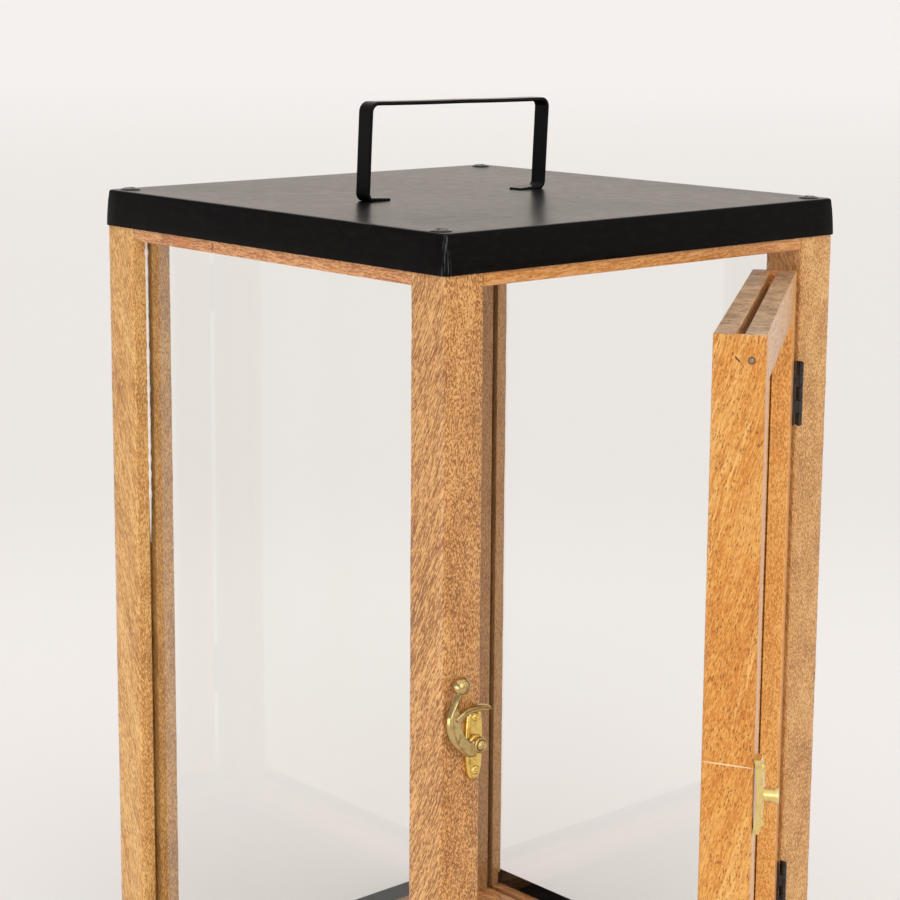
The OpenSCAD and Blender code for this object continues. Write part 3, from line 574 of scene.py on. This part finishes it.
# ---- Folded lid and tray ----
def folded_sheet(node, top, seed, sag):
    """A square sheet folded down on four sides, its skirt flaring a little and ridged at the folded corners.
    top: the lid, else the tray, upside down. sag: how far the flat part dips."""
    counts, arc = [34] * 4, 12
    # (inset from the rim, height from the rim's edge) of each loop, up the outside and across the top
    rim = [(0.75, 0), (0.2, 0), (0, 0.25), (0.08, 3), (0.25, 6.5), (0.5, 10), (0.72, 12), (0.80, 13.0), (0.90, 13.45),
           (1.15, 13.8), (1.6, 13.96), (2.3, 14)]
    flat = [4, 8, 14, 22, 32, 44, 58, 72, 84, 94]
    bm = bmesh.new()
    loops = []
    under = [(v, RIM_H - SHEET) for v in reversed(flat)] + [(1.9, RIM_H - SHEET), (0.75, RIM_H - 2 * SHEET)]
    for inset, z in rim + [(v, RIM_H) for v in flat] + under:
        half = RIM_OUT - inset
        pts, _ = outline(rect(-half, half, -half, half), [min(2.4, 0.3 * half)] * 4, counts, arc=arc)
        loop = []
        for x, y, nx, ny, c in pts:
            skirt = inset < 1.2 and z > 0.1
            wave = 0.16 * (0.5 + 0.5 * noise.noise(Vector((x * 0.028, y * 0.028, z * 0.05 + seed)))) if skirt else 0
            t = math.atan2(abs(ny), abs(nx)) / (math.pi / 2)
            ridge = 0.22 * (0.5 - 0.5 * math.cos(6 * math.pi * t)) if skirt and c > 0 and z < 13.2 else 0
            d = wave + ridge
            dip = 0.0
            if inset > 3:
                broad = noise.noise(Vector((x * 0.016, y * 0.016, seed + 5.3)))
                close = noise.noise(Vector((x * 0.05, y * 0.05, seed)))
                dip = max(0.0, min(1.0, (inset - 3) / 16) * (sag * (0.35 + 0.65 * broad) + 0.12 * close))
            h = z - dip
            zz = TOP - RIM_H + h if top else RIM_H - h
            loop.append(bm.verts.new(Vector((x - nx * d, y - ny * d, zz)) * MM))
        loops.append(loop)
    outside = len(rim) + len(flat)               # loops up to the middle, where both sides of the sheet are closed
    skin(bm, loops[:outside], caps=False)
    skin(bm, loops[outside:] + loops[:1], caps=False)
    bm.faces.new(loops[outside - 1])
    bm.faces.new(loops[outside])
    ob = finish_mesh(node + "_look", bm, black, angle=50)
    return place(ob, "lantern_frame", node, slot="black_sheet")


folded_sheet("lid", True, 1.7, 0.55)
folded_sheet("tray", False, 8.2, 0.3)


# ---- Strap handle ----
def strap_handle():
    """A flat strap bent up from one foot and down to the other, drawn as a path in its own upright plane."""
    cx, cy, half, rise, w, t = -4.8, 1.6, 46.2, 37.0, 7.0, 1.4
    foot_left, foot_right = 11.6, 13.4
    path = []

    def arc(px, pz, r, start, n):
        turns = (math.radians(start + 90 * k / n) for k in range(n + 1))
        path.extend((px + r * math.cos(a), pz + r * math.sin(a)) for a in turns)
    foot_r, top_r, m = 2.2, 3.2, t / 2
    x = half - m
    arc(x - foot_r, m + foot_r, foot_r, -90, 6)
    path.extend([(x, rise * k / 6) for k in range(1, 6)])
    arc(x - top_r, rise - m - top_r, top_r, 0, 8)
    path.extend([(x * k / 8, rise - m) for k in range(7, 0, -1) if x * k / 8 < x - top_r - 2])
    path = path + [(0, rise - m)] + [(-px, pz) for px, pz in reversed(path)]
    path = ([(half - foot_right, 0.5), (half - foot_right * 0.6, m)] + path
            + [(-half + foot_left * 0.6, m), (-half + foot_left, 0.5)])
    section = ((-1, -0.5), (-0.94, -1), (0, -1), (0.94, -1), (1, -0.5),
               (1, 0.5), (0.94, 1), (0, 1), (-0.94, 1), (-1, 0.5))
    bm = bmesh.new()
    rings = []
    for i, (px, pz) in enumerate(path):
        a, b = Vector(path[max(0, i - 1)]), Vector(path[min(len(path) - 1, i + 1)])
        d = (b - a).normalized()
        side = Vector((d.y, -d.x))                # away from the strap's inside
        end = min(i, len(path) - 1 - i)
        thick = m * (0.75 if end == 0 else 1)
        width = w / 2 * (0.9 if end == 0 else 1)
        settle = 0.4 if end < 2 else 0.2 if pz < 1 else 0
        sag = 0.45 * max(0.0, 1 - (px / (half - 4)) ** 2) if pz > rise - 2 else 0
        lean = -0.9 + 1.8 * pz / rise
        drop = 0.9 * max(0.0, px / half) * pz / rise
        ring = []
        for u, v in section:
            wob = 0.12 * noise.noise(Vector((px * 0.06, pz * 0.06, u * 2)))
            q = Vector((px, pz)) + side * (v * thick)
            z = TOP + q.y - settle - sag - drop
            ring.append(bm.verts.new(Vector((cx + q.x + lean, cy + u * width + wob, z)) * MM))
        rings.append(ring)
    skin(bm, rings)
    place(finish_mesh("handle_look", bm, black_strap, angle=40), "lantern_frame", "handle", slot="black_sheet")


strap_handle()


# ---- Turned and cast small parts ----
def turned(bm, at, axis, profile, cross=0.0, spin=0.0, segments=28):
    """A profile of (radius, height) from the rim inwards, turned about axis. cross: depth of a cross recess."""
    turn = Vector(axis).to_track_quat("Z", "Y").to_matrix().to_4x4()
    place_at = Matrix.Translation(Vector(at) * MM) @ turn @ Matrix.Rotation(spin, 4, "Z")
    r_max = profile[0][0]
    rings = []
    for r, h in profile:
        ring = []
        for k in range(segments):
            t = 2 * math.pi * k / segments
            x, y = r * math.cos(t), r * math.sin(t)
            in_cross = min(abs(x), abs(y)) < 0.13 * r_max and max(abs(x), abs(y)) < 0.62 * r_max
            ring.append(bm.verts.new(place_at @ (Vector((x, y, h - (cross if in_cross else 0))) * MM)))
        rings.append(ring)
    skin(bm, rings)


def dome(r, h, rings=9, brim=0.12):
    """Profile of a domed head with a short upright brim."""
    turns = (math.pi / 2 * k / rings for k in range(1, rings))
    crown = [(r * math.cos(t), h * (brim + (1 - brim) * math.sin(t))) for t in turns]
    return [(r, 0), (r, brim * h)] + crown + [(0.02 * r, h)]


def heads(node, body, slot, material, places, axis, r, h, cross=0.0, sink=0.1):
    """Screw or rivet heads, a little sunk into what they hold."""
    bm = bmesh.new()
    for i, at in enumerate(places):
        base = Vector(at) - Vector(axis) * sink
        turned(bm, base, axis, dome(r, h + sink), cross, spin=0.5 + 1.3 * i)
    place(finish_mesh(node + "_look", bm, material, angle=32), body, node, slot=slot)


LID_SCREWS = ((-95, -92), (93, -93.5), (-93.5, 93.5), (92, 92.5))
heads("lid_screws", "lantern_frame", "black_screw", black_screw, [(x, y, TOP) for x, y in LID_SCREWS],
      (0, 0, 1), 4.0, 0.85, cross=0.4)

RIVET = Vector((-86.4, -102.8, 168.8))           # on the boss of the catch's base plate
LEVER_T, LEVER_GAP, BALL_R = 2.0, 0.3, 3.15
EYE_R = 2.9
BALL = (-8.6, 22.7)
# The lever's two arms, each along its middle line: X and Z from the rivet, half width
BODY = [(-2.3, -0.85, 2.8), (-4.4, -0.75, 2.7), (-7.4, 1.3, 2.6), (-9.9, 4.7, 2.9), (-11.1, 8.6, 3.1),
        (-11.4, 12.2, 2.8), (-11.3, 15, 1.6), (-10.2, 17.6, 1.05), (-9.0, 20.2, 0.95), (-8.6, 21.8, 0.95)]
HOOK = [(-10.6, 10.2, 1.9), (-7.4, 12.3, 1.5), (-4.2, 13.1, 1.3),
        (-0.4, 13.1, 1.25), (2.6, 12.6, 1.2), (4.6, 11.8, 1.1)]


def spline(points, per=7):
    """Catmull-Rom curve through points of any dimension."""
    p = [Vector(q) for q in points]
    p = [2 * p[0] - p[1]] + p + [2 * p[-1] - p[-2]]
    out = []
    for i in range(1, len(p) - 2):
        for k in range(per):
            t = k / per
            square = 2 * p[i - 1] - 5 * p[i] + 4 * p[i + 1] - p[i + 2]
            cube = 3 * p[i] - p[i - 1] - 3 * p[i + 1] + p[i + 2]
            out.append(0.5 * (2 * p[i] + (p[i + 1] - p[i - 1]) * t + square * t ** 2 + cube * t ** 3))
    return out + [p[-2]]


def cast_arm(bm, points, tip_round):
    """An arm of the lever: a raised rim along its outer side that falls to a hollow face."""
    section = [(-1, 0), (-1, 0.5), (-0.86, 0.82), (-0.6, 1.0), (-0.3, 0.92),
               (0.1, 0.72), (0.6, 0.62), (0.88, 0.55), (1, 0.3), (1, 0)]
    pts = spline(points)
    rings = []
    for i, q in enumerate(pts):
        a, b = pts[max(0, i - 1)], pts[min(len(pts) - 1, i + 1)]
        d = Vector((b.x - a.x, b.y - a.y)).normalized()
        out = Vector((-d.y, d.x))
        w = q.z
        left = len(pts) - 1 - i
        if tip_round and left < 4:
            w *= math.sqrt(1 - ((4 - left) / 4.3) ** 2)
        ring = []
        for u, h in section:
            c = Vector((q.x, q.y)) - out * (u * w)
            ring.append(bm.verts.new(Vector((RIVET.x + c.x, RIVET.y - LEVER_GAP - LEVER_T * h, RIVET.z + c.y)) * MM))
        rings.append(ring)
    skin(bm, rings)


def catch_plate():
    """A thick cast plate with rounded, sloping sides and a round boss under the lever."""
    bm = bmesh.new()
    rings = []
    layers = ((3.75, 13.4, 0), (3.72, 13.38, 0.5), (3.6, 13.25, 1.05), (3.4, 13.0, 1.5),
              (3.1, 12.6, 1.75), (2.7, 12.1, 1.82), (1.2, 10.5, 1.85))
    for width, length, out in layers:
        ring = []
        for k in range(48):
            c, q = math.cos(2 * math.pi * k / 48), math.sin(2 * math.pi * k / 48)
            x, z = (math.copysign(abs(v) ** 0.7, v) for v in (c, q))
            ring.append(bm.verts.new(Vector((RIVET.x + width * x, -HALF - out, RIVET.z + length * z)) * MM))
        rings.append(ring)
    skin(bm, rings)
    turned(bm, (RIVET.x, -HALF - 1.5, RIVET.z), (0, -1, 0),
           [(3.3, 0), (3.2, 0.5), (2.9, 1.05), (2.4, 1.28), (0.02, 1.3)])
    place(finish_mesh("catch_plate_look", bm, brass, angle=50), "lantern_frame", "catch_plate", slot="catch_brass")


catch_plate()


def catch_lever():
    """A crescent with a ball at its top and a hook, turning on a dished eye."""
    bm = bmesh.new()
    cast_arm(bm, BODY, False)
    cast_arm(bm, HOOK, True)
    back = RIVET.y - LEVER_GAP
    turned(bm, (RIVET.x, back, RIVET.z), (0, -1, 0),
           [(EYE_R, 0), (EYE_R, 1.4), (2.75, 1.75), (2.45, 1.95), (2.1, 1.9), (1.95, 1.6), (0.02, 1.55)])
    ball = bmesh.ops.create_uvsphere(bm, u_segments=28, v_segments=18, radius=BALL_R * MM)
    middle = Vector((RIVET.x + BALL[0], back - LEVER_T / 2, RIVET.z + BALL[1]))
    bmesh.ops.translate(bm, verts=ball["verts"], vec=middle * MM)
    place(finish_mesh("catch_lever_look", bm, brass_lever_dark_reflection, angle=60), "catch_lever", "catch_lever", slot="catch_brass")


catch_lever()
FRONT = (0, -1, 0)
EYE_FLOOR = LEVER_GAP + LEVER_T - 0.35           # the rivet's head sits in the eye's dish
PLATE_T = 1.75
KEEPER_X, KEEPER_T, KEEPER_Z = 3.5, 2.4, 167.5   # on the latch stile
heads("catch_rivet", "lantern_frame", "catch_brass", brass_lever_dark_reflection, [RIVET - Vector((0, EYE_FLOOR, 0))], FRONT, 1.9, 1.4,
      sink=0.02)
heads("catch_screws", "lantern_frame", "catch_brass", brass,
      [(RIVET.x, -HALF - PLATE_T, RIVET.z + z) for z in (-9.6, 9.4)], FRONT, 1.75, 1.05, cross=0.3)
heads("keeper_screws", "door", "keeper_brass", keeper_brass,
      [(DOOR_X[0] + KEEPER_X, DOOR_Y[0] - KEEPER_T, KEEPER_Z + z) for z in (-9.3, 9.3)], FRONT, 1.7, 1.15, cross=0.3)
heads("door_nails", "door", "nail_steel", nail_steel,
      [(DOOR_X[0], NAIL_Y, z) for z in (DOOR_Z[0] + NAIL_IN, DOOR_Z[1] - NAIL_IN)], (-1, 0, 0), 1.05, 0.15, sink=0.6)


# ---- Hinges ----
HINGE_H, KNUCKLES, KNUCKLE_R = 25.0, 5, 1.1
NECK, LEAF_W = 1.9, 10.8                         # how far the knuckles' necks and the leaf reach from the pin
HINGE_Z = {"upper": 258.3, "lower": 55.5}


def hinge_leaf(node, body, z, side, first):
    """side: 1 on the post, -1 on the door. first: the number of its first knuckle."""
    bm = bmesh.new()
    step, r, soft = HINGE_H / KNUCKLES, KNUCKLE_R, 0.2
    x0, x1 = (0.3, 1.0) if side > 0 else (-1.0, -0.3)
    parts = [((x0, NECK, 0), (x1, LEAF_W, HINGE_H))]
    for k in range(first, KNUCKLES, 2):
        z0, z1 = z + k * step + 0.03, z + (k + 1) * step - 0.05
        turned(bm, (AXIS.x, AXIS.y, z0), (0, 0, 1),
               [(r - soft, 0), (r, soft), (r, z1 - z0 - soft), (r - soft, z1 - z0)], segments=24)
        parts.append(((x0, 0, k * step + 0.1), (x1, NECK, (k + 1) * step - 0.15)))
    at = Vector((AXIS.x, AXIS.y, z))
    for a, b in parts:
        for v in bmesh.ops.create_cube(bm, size=1)["verts"]:
            v.co = (at + Vector(a[i] + (v.co[i] + 0.5) * (b[i] - a[i]) for i in range(3))) * MM
    place(finish_mesh(node + "_look", bm, steel), body, node, slot="hinge_steel")


for name, z in HINGE_Z.items():
    hinge_leaf(f"{name}_hinge_frame_leaf", "lantern_frame", z, 1, 0)
    hinge_leaf(f"{name}_hinge_door_leaf", "door", z, -1, 1)
    bm = bmesh.new()
    turned(bm, (AXIS.x, AXIS.y, z - 0.1), (0, 0, 1),
           [(0.6, 0), (0.8, 0.2), (0.8, HINGE_H), (0.6, HINGE_H + 0.2)], segments=20)
    place(finish_mesh(f"{name}_hinge_pin_look", bm, steel), "lantern_frame", f"{name}_hinge_pin", slot="hinge_steel")


# ---- Carried-over CAD nodes ----
def dress(material, *names, soften=0.0):
    """The CAD's own shape in this material. soften: radius of its edges, in millimetres."""
    for n in names:
        me = nodes[n].data
        me.materials.clear()
        me.materials.append(material)
        if soften:
            mod = nodes[n].modifiers.new("soft_edges", "BEVEL")
            mod.width, mod.segments, mod.limit_method, mod.angle_limit = soften * MM, 3, "ANGLE", math.radians(40)
            mod.harden_normals = True


dress(black_screw, "tray_post_screws", "tray_rail_screws")
dress(steel, "hinge_frame_screws", "hinge_door_screws")
dress(keeper_brass, "keeper", soften=0.25)
dress(dowel_wood, "top_rail_dowels")


# ---- Floor, light ----
def add_floor():
    s = Shader("floor")
    coords = s.add("TexCoord").outputs["Object"]
    n = s.add("VectorMath", {0: coords}, operation="LENGTH").outputs["Value"]
    tone = s.mix(s.ramp(n, 0.45, 1.1), srgb(242, 240, 239), srgb(234, 232, 231))
    tone = s.mix(s.ramp(n, 2.2, 9.0), tone, srgb(243, 242, 242))
    mat = s.surface(Base_Color=tone, Roughness=0.9, IOR=1.2)
    bm = bmesh.new()
    bmesh.ops.create_circle(bm, cap_ends=True, radius=60, segments=96)
    bmesh.ops.translate(bm, vec=(0, 0, -0.1 * MM), verts=bm.verts)      # just clear of the tray's underside
    ob = finish_mesh("floor", bm, mat)
    return ob


def add_area(name, at, to, size, power, colour, spared):
    """A soft square lamp that leaves the object spared unlit."""
    data = bpy.data.lights.new(name, "AREA")
    data.shape, data.size, data.energy, data.color = "SQUARE", size, power, colour
    ob = bpy.data.objects.new(name, data)
    ob.location = at
    ob.rotation_euler = (Vector(to) - Vector(at)).to_track_quat("-Z", "Y").to_euler()
    ob.visible_camera = False
    unlit = bpy.data.collections.new(name + "_unlit")
    unlit.objects.link(spared)
    unlit.collection_objects[0].light_linking.link_state = "EXCLUDE"
    ob.light_linking.receiver_collection = unlit
    scene.collection.objects.link(ob)


def add_sun(name, direction, spread, strength, colour=(1, 1, 1)):
    """direction points from the object to the light."""
    data = bpy.data.lights.new(name, "SUN")
    data.angle, data.energy, data.color = math.radians(spread), strength, colour
    ob = bpy.data.objects.new(name, data)
    ob.rotation_euler = Vector(direction).to_track_quat("Z", "Y").to_euler()
    scene.collection.objects.link(ob)


floor = add_floor()
world = bpy.data.worlds.new("studio")
scene.world = world
world.use_nodes = True


def add_sky(tree):
    """A dim room with a bright backdrop behind the lantern, up to about 35 degrees above the floor."""
    tree.nodes.clear()
    out = tree.nodes.new("ShaderNodeOutputWorld")
    light = tree.nodes.new("ShaderNodeBackground")
    look = tree.nodes.new("ShaderNodeTexCoord")
    dot = tree.nodes.new("ShaderNodeVectorMath")
    dot.operation = "DOT_PRODUCT"
    dot.inputs[1].default_value = (0.64, 0.72, 0.27)
    level = tree.nodes.new("ShaderNodeMapRange")
    level.interpolation_type = "SMOOTHSTEP"
    for k, v in zip(("From Min", "From Max", "To Min", "To Max"), (0.62, 0.92, 0.45, 0.93)):
        level.inputs[k].default_value = v
    tint = tree.nodes.new("ShaderNodeMix")
    tint.data_type = "RGBA"
    tint.inputs[6].default_value = (1.0, 0.985, 0.972, 1)
    tint.inputs[7].default_value = (1.0, 0.90, 0.82, 1)
    share = tree.nodes.new("ShaderNodeMapRange")
    for k, v in zip(("From Min", "From Max"), (0.62, 0.92)):
        share.inputs[k].default_value = v
    tree.links.new(look.outputs["Generated"], dot.inputs[0])
    tree.links.new(dot.outputs["Value"], level.inputs["Value"])
    tree.links.new(level.outputs[0], light.inputs[1])
    tree.links.new(dot.outputs["Value"], share.inputs["Value"])
    tree.links.new(share.outputs[0], tint.inputs[0])
    tree.links.new(tint.outputs[2], light.inputs[0])
    tree.links.new(light.outputs[0], out.inputs[0])


add_sky(world.node_tree)
add_sun("overhead", (-0.15, -0.1, 1), 100, 1.10, (1, 0.99, 0.98))
add_sun("front_right", (0.45, -1, 0.45), 60, 0.66, (1, 0.93, 0.82))
add_sun("fill", (-0.62, -0.75, 0.30), 50, 0.90, (1, 0.97, 0.93))
add_area("low_left", (-0.62, 0.02, 0.02), (-0.1, 0, 0.06), 0.4, 1.3, (1, 0.98, 0.95), floor)
